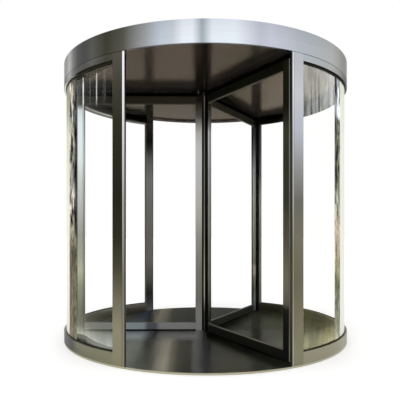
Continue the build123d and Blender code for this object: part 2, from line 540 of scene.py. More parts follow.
# The ceiling's tones across it are painted reflections. It is painted darker towards the back, and the dark
# stripe near its middle is a painted reflection of the shaft.
ceilingFinish = brushedSteel("ceiling_steel", {
    "grain": "straight", "roughness": 0.16, "contrast": 0.05, "bump": 0.02, "edge": (0.5, 0.48, 0.44, 1),
    "metal": 0.78, "follow": "side",
    "tones": [
        (-1.26, 88, 84, 76), (-0.6, 94, 87, 80), (0, 96, 86, 82), (0.3, 88, 82, 72), (0.7, 124, 114, 104),
        (1.26, 126, 120, 110),
    ],
    "shade": {
        "depth": [(-1.26, 1), (-0.2, 1), (0.3, 0.85), (1.26, 0.9)],
        "side": [(-0.13, 1), (-0.085, 0.4), (-0.005, 0.4), (0.03, 1)],
    },
})
roofFinish = brushedSteel("roof_sheet", {
    "grain": "straight", "follow": "side", "roughness": 0.5, "patches": 0.15,
    "tones": [(-1.26, 120, 121, 122), (1.26, 126, 127, 128)],
    "shade": {"side": [
        (-1.26, 1), (-0.423, 1), (-0.42, 0.5), (-0.417, 1), (0.417, 1), (0.42, 0.5), (0.423, 1), (1.26, 1),
    ]},
})


def buildCanopy():
    inside, lip = radius - canopy["thick"], lipRadius + canopy["thick"]
    fold = fasciaBottom + canopy["thick"]
    section = [
        (radius, fasciaBottom), (radius, fasciaTop), (inside, fasciaTop), (inside, fold), (lip, fold),
        (lip, ceilingZ), (lipRadius, ceilingZ), (lipRadius, fasciaBottom),
    ]
    seams = [-seamAngle, seamAngle, math.pi - seamAngle, math.pi + seamAngle, math.tau - seamAngle]
    for side, start, end in zip(("front", "right", "back", "left"), seams, seams[1:]):
        piece = bendSection("canopy_fascia_" + side, section, start, end, canopy["bevel"])
        finish = fasciaBackFinish if side == "back" else fasciaFinish
        finishPiece(piece, "drum", "wall_steel", finish, side + "_fascia")
    coat(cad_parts["ceiling_plate"], ceilingFinish)  # both keep their own shape
    coat(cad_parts["roof_plate"], roofFinish)


buildCanopy()
print("stage: canopy built")


# Round walls

wall = {
    "glassThick": 0.012, "glassBite": 0.010, "glassGap": 0.0003, "joint": 0.0015, "endSeal": 0.005,
    "gasketOut": 0.005, "gasketTip": 0.7, "gasketTop": 0.015, "gasketBottom": 0.006, "sealSunk": 0.002,
    "paneBevel": 0.0008, "gasketBevel": 0.0006, "sealBevel": 0.0003,
}

# The rails' tones round the walls are painted reflections.
railTones = {
    "left": [
        (-90, 60, 58, 46), (-74, 24, 22, 14), (-62, 30, 28, 18), (-57, 34, 34, 24), (-52, 108, 109, 84),
        (-33, 130, 128, 104),
    ],
    "right": [(32, 148, 144, 124), (60, 152, 148, 128), (80, 132, 128, 110), (90, 130, 126, 108)],
}
# Painted light and shade for the rails' inner faces. The middle of the left head rail's inner face is painted
# light, and its ends are painted shade.
innerPaintedLight = {  # what the rails show to the inside
    "base_left": [(-90, 120, 120, 100), (-30, 116, 112, 102)],
    "base_right": [(30, 88, 86, 68), (90, 90, 88, 70)],
    "head_left": [(-90, 250, 248, 240), (-56.5, 250, 248, 240), (-53, 56, 48, 38), (-30, 56, 48, 38)],
    "head_right": [(30, 22, 20, 16), (90, 40, 38, 32)],
}
# The upper part of the left head rail's inner face is painted shade.
headShade = {"left": [(2.168, 1), (2.178, 0.12), (2.25, 0.12)], "right": evenly(1)}
gasketFinish = blackRubber("gasket_rubber", evenly(38, 38, 26))
# This gasket is painted light towards the back of the door, over dark rubber at the front.
gasketLitFinish = blackRubber("gasket_rubber_lit", [(-0.05, 38, 38, 26), (0.05, 196, 198, 186)], "depth")
siliconeFinish = blackRubber("joint_silicone", evenly(96, 96, 90))
# These looks hold painted reflections for the wall panes: mirror tints, mirroring by height, strokes and the
# mottled band near the edge.
wallGlassLook = {
    "mirror": [(0.5, 255, 254, 226), (1.0, 252, 255, 250)], "skin": (glassOuter - 0.004, glassOuter - 0.002),
    "shine": 0.1, "cover": 0.96, "paintedMirroringMottle": 0.7, "paintedMirroringMottleSize": (16, 4), "strokeSize": (40, 9),
    "strokeBreak": 1.4, "reflectionPatchForce": 4, "paintedSpeckleSize": (80, 22), "paintedSpeckle": 0.7, "darkest": 0.06,
    "leanFrom": (0.9, 0.86), "paintedReflectionSlant": (0.5, 0.6),
}
wallGlassFinishes = {
    "left": clearGlass("wall_glass_left", {
        **wallGlassLook, "paintedMirroring": [
            (0.1, 1), (0.12, 0.84), (0.15, 0.5), (0.2, 0.3), (0.23, 0.16), (0.3, 0.06), (0.35, 0.02),
            (1.9, 0), (2.05, 0), (2.14, 0.06),
        ],
        "spread": [(36, 0.35), (39, 0.5), (42, 0.55), (46, 0.8), (80, 0.8)],
        "strokes": [
            (36.3, 0), (36.6, 0.06), (37, 0), (37.6, 0.03), (37.9, 0), (40.5, 0), (40.9, 0.5), (41.4, 0),
            (44.4, 0), (44.7, 0.1), (45, 0), (48.7, 0), (49.1, 0.6), (49.6, 0.5), (49.9, 0), (55, 0.04),
        ],
        "strokeHeight": [(1.86, 0), (1.93, 1), (2.2, 0.8)], "strokeLight": 1.5,
        "start": (54.6, 55), "edge": (63.4, 63.9), "lean": 0.3, "mottle": 0.14, "reflectionPatchSize": (17, 6),
        "reflectionPatchDepth": [(0.1, 0.25), (0.8, 0.3), (1.0, 0.85), (2.2, 0.85)],
        "across": [(54, 0.1), (56.2, 0.12), (57.4, 0.55), (58.7, 0.95), (60, 1), (63, 1)],
        "acrossFrom": (0.84, 0.94),
        "paintedReflection": [
            (0.1, 150, 146, 126), (0.28, 122, 118, 96), (0.5, 122, 118, 96), (0.7, 100, 96, 76),
            (0.92, 132, 130, 108), (1.08, 150, 146, 130), (1.16, 190, 184, 174), (1.25, 218, 212, 204),
            (1.36, 134, 133, 124), (1.6, 142, 140, 130), (1.75, 164, 162, 152), (1.9, 184, 184, 174),
            (2.05, 166, 162, 150), (2.2, 164, 160, 148),
        ],
        "outline": [
            (0.1, 255, 255, 244), (0.8, 254, 254, 240), (1.15, 250, 250, 232), (1.4, 240, 242, 222),
            (1.75, 226, 228, 206), (1.95, 176, 178, 156), (2.2, 160, 162, 140),
        ],
    }),
    "right": clearGlass("wall_glass_right", {
        **wallGlassLook, "mirror": [(0.4, 255, 250, 190), (1.2, 252, 255, 250)],
        "paintedMirroring": [
            (0.1, 0.38), (0.14, 0.4), (0.18, 0.3), (0.24, 0.1), (0.3, 0.07), (1.5, 0.07), (1.75, 0.6),
            (2.2, 0.6),
        ],
        "spread": [(34, 0.5), (40, 0.5), (44, 0.66), (52, 0.8)],
        "strokes": [
            (33.8, 0.3), (34.6, 0.1), (36.6, 0), (37.1, 0.8), (37.6, 0.2), (38.9, 0.1), (39.4, 0.5),
            (39.9, 0.1), (40.9, 0.1), (41.4, 1), (41.9, 0.1), (43.6, 0.4), (44.2, 0), (45.5, 0), (45.9, 0.5),
            (46.3, 0), (49, 0.2), (49.4, 0),
        ],
        "strokeHeight": [(1.7, 0), (1.74, 1), (1.9, 0.9), (2.06, 0.35), (2.14, 0)], "strokeLight": -0.42,
        "start": (52.6, 53), "edge": (58.9, 59.4), "lean": 0, "mottle": 0.08, "reflectionPatchSize": (22, 6),
        "reflectionPatchDepth": [(0.1, 0.3), (1.0, 0.25), (1.2, 0.7), (2.2, 0.7)],
        "across": [(52.6, 0.3), (54.8, 0.36), (55.8, 1.1), (59, 1.3)], "acrossFrom": (1.22, 1.3),
        "paintedReflection": [
            (0.1, 210, 210, 184), (0.2, 165, 166, 142), (0.3, 142, 146, 124), (0.46, 146, 154, 128),
            (0.51, 104, 112, 82), (0.6, 120, 124, 90), (0.65, 170, 166, 130), (0.76, 186, 176, 146),
            (0.9, 206, 192, 166), (1.06, 206, 192, 168), (1.14, 172, 174, 156), (1.24, 160, 162, 144),
            (1.3, 120, 126, 108), (1.83, 120, 126, 110), (1.86, 196, 200, 208), (2.2, 190, 196, 198),
        ],
        "outline": [(0.1, 255, 255, 246), (1.7, 252, 254, 240), (2.2, 242, 246, 226)],
    }),
}
wallGlassBack = clearGlass("wall_glass_back", {**wallGlassLook, "paintedMirroring": evenly(0.01)})


def wallPiece(name, side, section, start, end, bevel=soft["edge"]):  # the left is the right, mirrored
    piece = bendSection(name, section, start, end, bevel)
    if side == "left":
        piece.scale = (-1, 1, 1)
        placeInMesh(piece)
        cleanUp(piece)
    return piece


def buildWalls():
    gap = wall["glassGap"]
    inside = glassOuter - wall["glassThick"]
    grooveOut, grooveIn = glassOuter + gap, inside - gap
    grooveLow = baseRailTop - wall["glassBite"] - gap
    grooveHigh = headRailBottom + wall["glassBite"] + gap
    paneLow, paneHigh = grooveLow + gap, grooveHigh - gap
    high, low = headRailBottom - wall["gasketTop"], baseRailTop + wall["gasketBottom"]
    base = [
        (radius, floorTop), (radius, baseRailTop), (grooveOut, baseRailTop), (grooveOut, grooveLow),
        (grooveIn, grooveLow), (grooveIn, baseRailTop), (innerRadius, baseRailTop), (innerRadius, floorTop),
    ]
    lip = lipRadius - gap
    head = [
        (radius, headRailBottom), (radius, fasciaBottom), (lip, fasciaBottom), (lip, ceilingZ),
        (innerRadius, ceilingZ), (innerRadius, headRailBottom), (grooveIn, headRailBottom),
        (grooveIn, grooveHigh), (grooveOut, grooveHigh), (grooveOut, headRailBottom),
    ]
    pane = [(glassOuter, paneLow), (glassOuter, paneHigh), (inside, paneHigh), (inside, paneLow)]
    gaskets, out = {}, wall["gasketOut"]
    for rail, near, far in (("head", headRailBottom, high), ("base", baseRailTop, low)):
        for face, foot, proud in (("outer", glassOuter, out), ("inner", inside, -out)):
            edge, tip = foot + proud, foot + proud * wall["gasketTip"]
            gaskets["gasket_" + rail + "_" + face] = [(foot, near), (edge, near), (tip, far), (foot, far)]
    sealOut, sealIn = glassOuter + wall["sealSunk"], inside - wall["sealSunk"]
    seal = [(sealOut, low), (sealOut, high), (sealIn, high), (sealIn, low)]
    jointTurn = wall["joint"] / glassOuter
    sealTurn = wall["endSeal"] / glassOuter
    start, end = wallAngle, math.pi - wallAngle
    halves = {"front": (start, quarterTurn - jointTurn), "back": (quarterTurn + jointTurn, end)}
    seals = {
        "front": (start, start + sealTurn), "middle": (quarterTurn - jointTurn, quarterTurn + jointTurn),
        "back": (end - sealTurn, end),
    }
    for side in ("right", "left"):
        railFinish = brushedSteel("base_rail_steel_" + side, {
            "follow": "around", "tones": railTones[side], "inner": innerPaintedLight["base_" + side], "metal": 0.6,
        })
        headFinish = brushedSteel("head_rail_steel_" + side, {
            **fasciaLook, "inner": innerPaintedLight["head_" + side], "innerShade": headShade[side], "metal": 0.6,
        })
        for name, section, finish in (("base", base, railFinish), ("head", head, headFinish)):
            piece = wallPiece(name + "_rail_" + side, side, section, start, end)
            finishPiece(piece, "drum", "wall_steel", finish, side + "_" + name + "_rail")
        for half, (first, last) in halves.items():
            name = "wall_pane_" + side + "_" + half
            piece = wallPiece(name, side, pane, first + gap, last - gap, wall["paneBevel"])
            finish = wallGlassFinishes[side] if half == "front" else wallGlassBack
            finishPiece(piece, "drum", "wall_glass", finish, side + "_" + half + "_glass")
        for name, strip in gaskets.items():
            piece = wallPiece(name + "_" + side, side, strip, start, end, wall["gasketBevel"])
            # The left inner head gasket carries that painted light.
            lit = name == "gasket_head_inner" and side == "left"  # its back half catches the light
            finishPiece(piece, "drum", "brush", gasketLitFinish if lit else gasketFinish)
        for place, (first, last) in seals.items():
            piece = wallPiece("glass_seal_" + place + "_" + side, side, seal, first, last, wall["sealBevel"])
            finishPiece(piece, "drum", "brush", siliconeFinish)


buildWalls()
print("stage: round walls built")


# Posts

post = {
    "rubber": 0.003, "trimWide": 0.02, "trimThick": 0.004, "rebate": 0.022, "sealBack": 0.004, "gap": 0.001,
    "sealBevel": 0.0005,
}

# The posts' tones by height are painted reflections.
postTones = {
    "front_left": [
        (0.1, 134, 130, 106), (0.28, 131, 128, 107), (0.48, 106, 101, 85), (0.7, 66, 65, 51),
        (0.9, 46, 45, 36), (1.2, 36, 36, 28), (1.73, 48, 47, 36), (1.94, 62, 61, 52), (2.15, 80, 79, 70),
    ],
    "front_right": [
        (0.1, 129, 126, 104), (0.35, 115, 110, 90), (0.62, 101, 99, 82), (0.9, 115, 110, 94),
        (1.17, 106, 106, 96), (1.45, 154, 154, 154), (1.66, 183, 188, 197), (1.94, 200, 201, 207),
        (2.15, 186, 188, 194),
    ],
    "back_left": [
        (0.03, 128, 125, 134), (0.12, 86, 86, 85), (0.22, 66, 66, 60), (0.36, 97, 96, 88),
        (0.6, 118, 112, 104), (0.95, 114, 110, 102), (1.52, 128, 130, 126), (1.75, 114, 112, 106),
        (1.87, 66, 64, 56), (1.96, 44, 44, 38), (2.16, 76, 68, 62),
    ],
    "back_right": [
        (0.1, 180, 184, 176), (0.3, 190, 187, 176), (0.5, 216, 210, 194), (0.7, 200, 198, 186),
        (1.3, 232, 232, 219), (1.6, 138, 138, 130), (1.87, 114, 114, 108), (2.15, 88, 84, 72),
    ],
}
# The posts' inner faces are painted shade: darker on the front posts, almost black on the back right one.
frontShade = [(1.2, 0.35), (1.225, 0.35), (1.25, 1), (1.27, 1)]
postShade = {
    "front_left": frontShade,
    "front_right": frontShade,
    "back_left": evenly(1),
    "back_right": [(1.2, 0.008), (1.2074, 0.008), (1.2104, 1.05), (1.27, 1.05)],
}
# The trims' tones by height are painted reflections.
trimTones = {
    "left": [
        (0.1, 133, 128, 112), (0.35, 123, 119, 102), (0.62, 115, 115, 97), (0.9, 145, 145, 131),
        (1.17, 163, 162, 153), (1.52, 208, 205, 206), (1.9, 238, 237, 237), (2.15, 247, 247, 249),
    ],
    "right": [
        (0.1, 166, 164, 144), (0.3, 154, 150, 132), (0.55, 140, 136, 118), (0.83, 144, 139, 122),
        (1.1, 166, 165, 155), (1.38, 188, 187, 186), (1.66, 206, 206, 210), (2.04, 238, 237, 244),
        (2.15, 226, 225, 232),
    ],
}
# On the right-hand trims a narrow painted highlight runs beside a strip of painted shade.
trimShade = {  # the narrow light line of the right-hand trims
    "left": {},
    "right": {"side": [(0.578, 0.3), (0.588, 0.3), (0.59, 1), (0.5965, 1), (0.5985, 0.8), (0.62, 0.8)]},
}
# The front jamb rubber is painted light and shade by height, almost black at the top.
jambRubber = {
    "front": blackRubber("jamb_rubber_front", [
        (0.1, 48, 48, 38), (0.35, 66, 65, 55), (0.62, 76, 74, 62), (0.9, 64, 63, 54), (1.17, 52, 52, 44),
        (1.66, 38, 40, 36), (1.85, 6, 6, 5), (2.2, 2, 2, 2),
    ]),
    "back": blackRubber("jamb_rubber_back", evenly(6, 6, 5)),
}


def circlePoint(distance, x):  # the point of a circle that has this x, on the front right
    return Vector((x, -math.sqrt(distance ** 2 - x ** 2)))


def buildPosts():  # drawn at the front right, to be mirrored
    faceStart, faceEnd = inPlan(radius, openAngle, 0).xy, inPlan(radius, wallAngle, 0).xy
    along = (faceEnd - faceStart).normalized()
    rubberX, step = jambX + post["rubber"], Vector((-along.y, along.x)) * post["trimThick"]

    def toJamb(point):  # along the face to where the rubber starts
        return point + along * ((rubberX - point.x) / along.x)

    wallInner, jambInner = inPlan(innerRadius, wallAngle, 0).xy, circlePoint(innerRadius, rubberX)
    trimStart = toJamb(faceStart)
    rebateFace, trimFace = trimStart + along * post["rebate"], trimStart + along * post["trimWide"]
    rebateDeep, trimDeep = rebateFace + step, trimFace + step
    body = [rebateFace, faceEnd, wallInner, jambInner, toJamb(rebateDeep), rebateDeep]
    trim = [trimStart, trimFace, trimDeep, toJamb(trimDeep)]
    lip = lipRadius - wall["glassGap"]
    tongue = [circlePoint(lip, rubberX), inPlan(lip, wallAngle, 0).xy, wallInner, jambInner]
    sealY = faceStart.y + post["sealBack"]
    seal = [(jambX, sealY), (rubberX, sealY), jambInner, (jambX, jambInner.y)]
    top = fasciaBottom - post["gap"]
    shapes = {
        "post": joinPieces("post", [
            raiseOutline("post", body, floorTop, fasciaBottom),
            raiseOutline("tongue", tongue, fasciaBottom, ceilingZ),
        ]),
        "post_trim": raiseOutline("post_trim", trim, floorTop, top),
        "jamb_seal": raiseOutline("jamb_seal", seal, floorTop + post["gap"], top, post["sealBevel"]),
    }
    trims = {}
    for side, tones in trimTones.items():
        look = {"grain": "up", "tones": tones, "shade": trimShade[side]}
        trims[side] = brushedSteel("post_trim_steel_" + side, look)
    for corner in ("front_right", "front_left", "back_right", "back_left"):
        end, side = corner.split("_")
        steel = brushedSteel("post_steel_" + corner, {
            "grain": "up", "tones": postTones[corner], "shade": {"reach": postShade[corner]},
            "metal": 0.5 if end == "back" else 1.0,
        })
        looks = {
            "post": ("wall_steel", steel, [corner + "_post"]),
            "post_trim": ("wall_steel", trims[side], []),
            "jamb_seal": ("brush", jambRubber[end], []),
        }
        flip = (1 if side == "right" else -1, 1 if end == "front" else -1, 1)
        for part, (slot, finish, nodes) in looks.items():
            piece = copyPiece(shapes[part], part + "_" + corner, flip=flip)
            finishPiece(piece, "drum", slot, finish, *nodes)
    for shape in shapes.values():
        bpy.data.objects.remove(shape)


buildPosts()
print("stage: posts built")


# Floor

rim = {"wide": 0.006, "bevel": 0.0012, "sides": 480}

# The floor's tones across it and its zones by depth are painted reflections of the wings, posts and rails.
floorLeft = [
    (-1.26, 156, 163, 165), (-0.8, 156, 163, 165), (-0.69, 103, 109, 103), (-0.63, 103, 109, 103),
    (-0.55, 98, 102, 96), (-0.5, 67, 70, 66),
]
floorRight = [(0.53, 54, 56, 45), (0.6, 74, 76, 62), (1.26, 78, 80, 66)]
floorFinish = brushedSteel("floor_steel", {
    "grain": "straight", "roughness": 0.24, "contrast": 0.08, "bump": 0.02, "edge": (0.62, 0.62, 0.58, 1),
    "metalRun": [(-1.26, 0.6), (-0.45, 0.6), (-0.3, 0.5), (-0.05, 0.45), (0.1, 0.25), (1.26, 0.25)],
    "follow": "side",
    "tones": [
        *floorLeft, (-0.45, 74, 76, 71), (-0.4, 102, 99, 90), (-0.36, 134, 129, 117), (-0.31, 150, 143, 128),
        (-0.27, 104, 99, 84), (-0.22, 48, 44, 36), (-0.17, 12, 11, 8), (-0.13, 10, 9, 7), (-0.09, 90, 89, 90),
        (-0.07, 104, 103, 105), (-0.04, 82, 83, 84), (0.0, 66, 66, 68), (0.05, 42, 42, 36), (0.1, 46, 45, 38),
        (0.2, 44, 43, 34), (0.28, 56, 57, 50), (0.34, 46, 50, 44), (0.45, 42, 41, 36), *floorRight,
    ],
    "zones": [
        (-0.95, -0.75, [
            *floorLeft, (-0.45, 78, 80, 75), (-0.4, 100, 97, 88), (-0.36, 126, 121, 109),
            (-0.31, 138, 131, 117), (-0.27, 90, 85, 71), (-0.22, 34, 31, 25), (-0.17, 6, 5, 4),
            (-0.13, 6, 5, 4), (-0.09, 92, 91, 92), (-0.07, 108, 107, 109), (-0.04, 94, 95, 96),
            (0.0, 70, 70, 72), (0.05, 30, 30, 25), (0.2, 30, 29, 23), (0.3, 26, 27, 23), (0.45, 38, 37, 32),
            *floorRight,
        ]),
        (-0.4, -0.22, [
            (-0.75, 156, 163, 165), (-0.57, 156, 165, 165), (-0.5, 96, 100, 102), (-0.45, 70, 74, 72),
            (-0.4, 120, 120, 116), (-0.08, 134, 134, 134), (-0.03, 96, 97, 97), (0.02, 4, 5, 5),
            (0.2, 40, 42, 34), (0.4, 52, 54, 42), (1.26, 62, 64, 50),
        ]),
        (-0.02, 0.04, [
            (-1.26, 70, 71, 57), (-0.85, 70, 71, 57), (-0.7, 60, 64, 70), (-0.58, 58, 63, 70),
            (-0.53, 71, 70, 56), (-0.47, 117, 109, 94), (-0.4, 94, 90, 77), (-0.34, 38, 38, 30),
            (-0.15, 13, 11, 8), (0.0, 36, 38, 36), (0.3, 26, 28, 21), (0.5, 56, 59, 50), (0.7, 60, 63, 48),
            (1.26, 72, 72, 54),
        ]),
    ],
})
rimFinish = brushedSteel("rim_steel", {
    "follow": "side", "tones": [(-1.26, 176, 172, 150), (1.26, 182, 178, 156)],
})


def buildFloor():
    inner = radius - rim["wide"]
    section = [(radius, 0), (radius, floorTop), (inner, floorTop), (inner, 0)]
    piece = turnSection("floor_rim", section, rim["sides"], rim["bevel"])
    finishPiece(piece, "drum", "edge_trim", rimFinish, "floor_edge_trim")
    coat(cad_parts["floor_plate"], floorFinish)


buildFloor()
print("stage: floor built")


# Shaft with its pivot and bearing

shaft = {
    "sides": 64, "hollow": 0.004, "neck": 0.015, "neckLow": 0.006, "neckHigh": 0.013, "shoulder": 0.0015,
    "keyWide": 0.012, "keyIn": 0.018, "collar": 0.0655, "collarLow": 0.001, "collarHigh": 0.005,
    "boreGap": 0.00005, "bearingSlope": 0.006, "cupSlope": 0.002,
}

# The shaft's tones by height are painted reflections. Across it, a narrow painted highlight runs between
# painted shade.
shaftFinish = brushedSteel("shaft_steel", {
    "grain": "up", "metal": 0.5,
    "tones": [
        (0.03, 90, 92, 88), (0.2, 96, 98, 92), (0.35, 194, 194, 173), (0.5, 186, 186, 166),
        (0.77, 150, 148, 130), (1.2, 130, 130, 117), (1.5, 136, 138, 125), (1.8, 134, 136, 124),
        (1.98, 120, 120, 112), (2.1, 165, 160, 148), (2.2, 165, 160, 148),
    ],
    "shade": {"side": [
        (-0.022, 0.03), (-0.016, 0.08), (-0.0115, 0.12), (-0.0095, 1), (-0.004, 1), (-0.002, 0), (0.022, 0),
    ]},
})
# The collar has a narrow painted highlight between painted shade.
collarFinish = brushedSteel("collar_steel", {
    "metal": 0.5, "tones": evenly(96, 94, 86),
    "shade": {"side": [
        (-0.066, 0.05), (-0.02, 0.05), (-0.017, 1), (-0.009, 1), (-0.006, 0.03), (0.066, 0.03),
    ]},
})
keyFinish = brushedSteel("key_steel", {"grain": "up", "tones": [(0, 14, 14, 13), (2.24, 12, 12, 11)]})
bearingFinish = brushedSteel("bearing_steel", {"tones": [(0, 52, 52, 48), (2.24, 26, 24, 20)]})


def buildShaft():
    low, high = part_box("center_shaft")
    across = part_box("wing_3_inner_stile")
    hollow, neck, wide, collar = shaft["hollow"], shaft["neck"], high.y, shaft["collar"]
    start, end = low.z + shaft["neckLow"], high.z - shaft["neckHigh"]
    section = [
        (hollow, low.z), (neck, low.z), (neck, start), (wide, start + shaft["shoulder"]),
        (wide, end - shaft["shoulder"]), (neck, end), (neck, high.z), (hollow, high.z),
    ]
    turned = turnSection("shaft", section, shaft["sides"])
    finishPiece(turned, "rotor", "shaft", shaftFinish, "center_shaft")
    bottom, top = across[1].z + shaft["collarLow"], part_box("upper_bearing")[0].z - shaft["collarHigh"]
    section = [(wide, bottom), (collar, bottom), (collar, top), (wide, top)]
    finishPiece(turnSection("shaft_collar", section, shaft["sides"]), "rotor", "shaft", collarFinish)
    half = shaft["keyWide"] / 2
    key = block("key", (shaft["keyIn"], -half, across[0].z), (-across[1].x, half, across[1].z))
    for wing, angle in wings.items():
        piece = copyPiece(key, "shaft_key_" + wing, math.radians(angle - 90))
        finishPiece(piece, "rotor", "shaft", keyFinish)
    bpy.data.objects.remove(key)

    low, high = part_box("upper_bearing")
    bore, side, slope = neck + shaft["boreGap"], high.x, shaft["bearingSlope"]
    section = [(bore, low.z), (side - slope, low.z), (side, low.z + slope), (side, high.z), (bore, high.z)]
    finishPiece(turnSection("bearing_ring", section), "drum", "shaft", bearingFinish, "upper_bearing")
    low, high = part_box("floor_pivot")
    side, slope = high.x, shaft["cupSlope"]
    section = [(bore, low.z), (side, low.z), (side, high.z - slope), (side - slope, high.z), (bore, high.z)]
    cup = turnSection("pivot_cup", section, shaft["sides"])
    finishPiece(cup, "drum", "shaft", bearingFinish, "floor_pivot")


buildShaft()
print("stage: shaft built")


# Wings

leaf = {
    "bevel": 0.0012, "glassHalf": 0.005, "glassBite": 0.012, "glassBevel": 0.0008, "slack": 0.0003,
    "beadWide": 0.0034, "beadThick": 0.006, "beadSlope": 0.002, "beadFoot": 0.002, "beadBevel": 0.0005,
    "holder": 0.012, "holderDeep": 0.006, "holderThin": 0.001, "holderBevel": 0.0006, "groove": 0.0015,
    "grooveDeep": 0.004,
}
pile = {
    "core": 0.005, "coreSlack": 0.0005, "coreBevel": 0.0005, "tuftWide": 0.0032, "pitch": 0.004, "rows": 2,
    "short": 0.004, "full": 0.95, "taper": 0.7, "endGap": 0.0008, "bearingGap": 0.006,
}

# Each wing's tones are painted reflections, darker or lighter wing by wing. The narrow bright lines in the
# bead tones are painted highlights.
leafTones = {
    "wing_1": {
        "inner": [
            (0.02, 60, 62, 56), (0.2, 68, 70, 62), (0.4, 112, 110, 95), (0.8, 130, 128, 115),
            (1.2, 148, 148, 140), (1.5, 180, 180, 180), (1.84, 228, 230, 234), (1.92, 150, 150, 146),
            (1.98, 90, 88, 80), (2.18, 60, 58, 48),
        ],
        "outer": [
            (0.1, 34, 31, 32), (0.39, 36, 34, 29), (0.43, 104, 100, 86), (0.6, 112, 108, 92),
            (0.9, 84, 79, 64), (1.18, 54, 54, 42), (1.47, 48, 49, 37), (1.68, 58, 60, 47), (1.86, 32, 30, 18),
            (2.15, 46, 47, 34),
        ],
        "top": evenly(30, 30, 22),
        "bottom": [(0, 38, 38, 34), (0.1, 34, 34, 30)],
        "bead": [
            (0.09, 60, 60, 50), (0.0918, 60, 60, 50), (0.0924, 162, 159, 143), (0.096, 162, 159, 143),
            (0.115, 76, 78, 70), (0.4, 124, 122, 106), (0.8, 144, 142, 128), (1.2, 164, 164, 156),
            (1.5, 180, 180, 180), (1.84, 206, 208, 212), (1.92, 150, 150, 146), (2.09, 60, 60, 50),
            (2.11, 60, 60, 50), (2.116, 232, 224, 202), (2.121, 232, 224, 202), (2.1216, 60, 58, 50),
        ],
        "holder": [
            (0.1, 170, 168, 158), (0.3, 128, 124, 106), (0.6, 106, 105, 89), (1.2, 114, 114, 98),
            (1.6, 136, 141, 124), (2.0, 148, 152, 138), (2.15, 166, 168, 156),
        ],
    },
    "wing_2": {
        "inner": [(0, 44, 46, 42), (2.24, 48, 46, 38)],
        "outer": [
            (0.14, 130, 138, 132), (0.26, 106, 106, 92), (0.41, 146, 141, 126), (0.44, 186, 179, 160),
            (0.53, 184, 178, 160), (0.56, 132, 130, 114), (0.94, 156, 154, 140), (1.28, 178, 177, 164),
            (1.62, 166, 168, 164), (1.85, 104, 103, 100), (2.0, 62, 62, 58), (2.12, 50, 50, 44),
            (2.18, 6, 6, 4),
        ],
        "top": evenly(62, 60, 48),
        "bottom": [(0, 64, 66, 60), (0.1, 68, 70, 63)],
        "bead": [
            (0.09, 84, 86, 78), (0.0924, 84, 86, 78), (0.093, 150, 150, 136), (0.096, 150, 150, 136),
            (0.115, 90, 92, 84), (0.6, 132, 130, 114), (1.28, 170, 168, 156), (1.62, 160, 162, 158),
            (1.9, 90, 90, 86), (2.11, 66, 66, 60), (2.116, 220, 212, 184), (2.121, 220, 212, 184),
            (2.1216, 66, 64, 54),
        ],
        "holder": evenly(8, 8, 7),
    },
    "wing_3": {
        "inner": [
            (0.02, 178, 178, 178), (0.16, 162, 160, 158), (0.3, 124, 122, 116), (0.58, 127, 125, 112),
            (0.86, 151, 150, 139), (1.14, 184, 183, 174), (1.42, 202, 201, 199), (1.7, 216, 216, 213),
            (1.86, 208, 206, 202), (1.93, 168, 166, 160), (2.0, 106, 103, 96), (2.08, 86, 82, 74),
            (2.15, 48, 44, 38),
        ],
        "outer": [
            (0.1, 96, 97, 77), (0.25, 114, 118, 97), (0.44, 136, 141, 116), (0.58, 176, 178, 154),
            (0.72, 158, 160, 142), (0.9, 150, 152, 136), (1.14, 182, 184, 178), (1.42, 206, 214, 208),
            (1.6, 228, 240, 238), (1.85, 236, 248, 250), (2.06, 238, 248, 250), (2.1, 130, 136, 132),
            (2.115, 60, 64, 58), (2.14, 50, 52, 46),
        ],
        "top": evenly(64, 60, 49),
        "bottom": [
            (-1.1, 150, 152, 142), (-0.85, 160, 164, 160), (-0.72, 172, 182, 188), (-0.57, 172, 182, 188),
            (-0.53, 110, 114, 120), (-0.46, 110, 114, 120), (-0.42, 168, 168, 168), (-0.1, 164, 165, 164),
        ],
        "bead": [
            (0.09, 120, 122, 122), (0.104, 120, 122, 122), (0.12, 130, 128, 120), (0.86, 164, 163, 152),
            (1.7, 206, 206, 204), (1.95, 150, 148, 142), (2.08, 90, 86, 78), (2.13, 76, 72, 64),
        ],
        "holder": [(0.1, 60, 60, 50), (2.15, 60, 60, 54)],
    },
}
# Painted light and shade: wing_3's bottom rail is painted dark along its foot, and wing_1's inner stile is
# painted dark but for a painted highlight along its glass edge. wing_3's outer stile is darker along its
# glass edge.
leafShade = {  # where one part holds both a light and a dark strip
    "bottom_wing_3": {"height": [(0.024, 0.05), (0.032, 0.05), (0.035, 1), (0.3, 1)]},
    "inner_wing_1": {"reach": [(0.028, 0.004), (0.0772, 0.004), (0.0792, 1), (0.09, 1)]},
    "outer_wing_3": {"reach": [(1.11, 0.6), (1.131, 0.6), (1.134, 1), (1.2, 1)]},
}
wingGlassFinish = clearGlass("wing_glass", {
    "mirror": evenly(255, 255, 255), "shine": 0.04, "paintedMirroring": evenly(0.001),
})
brushFinish = brushPile("brush_pile")


def leafPart(part):  # how far a part reaches along its wing, and its heights
    low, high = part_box("wing_3_" + part)
    return -high.x, -low.x, low.z, high.z


def bothFaces(half):  # an outline drawn over one face of the leaf, then back over the other
    return half + [(along, -across) for along, across in reversed(half)]


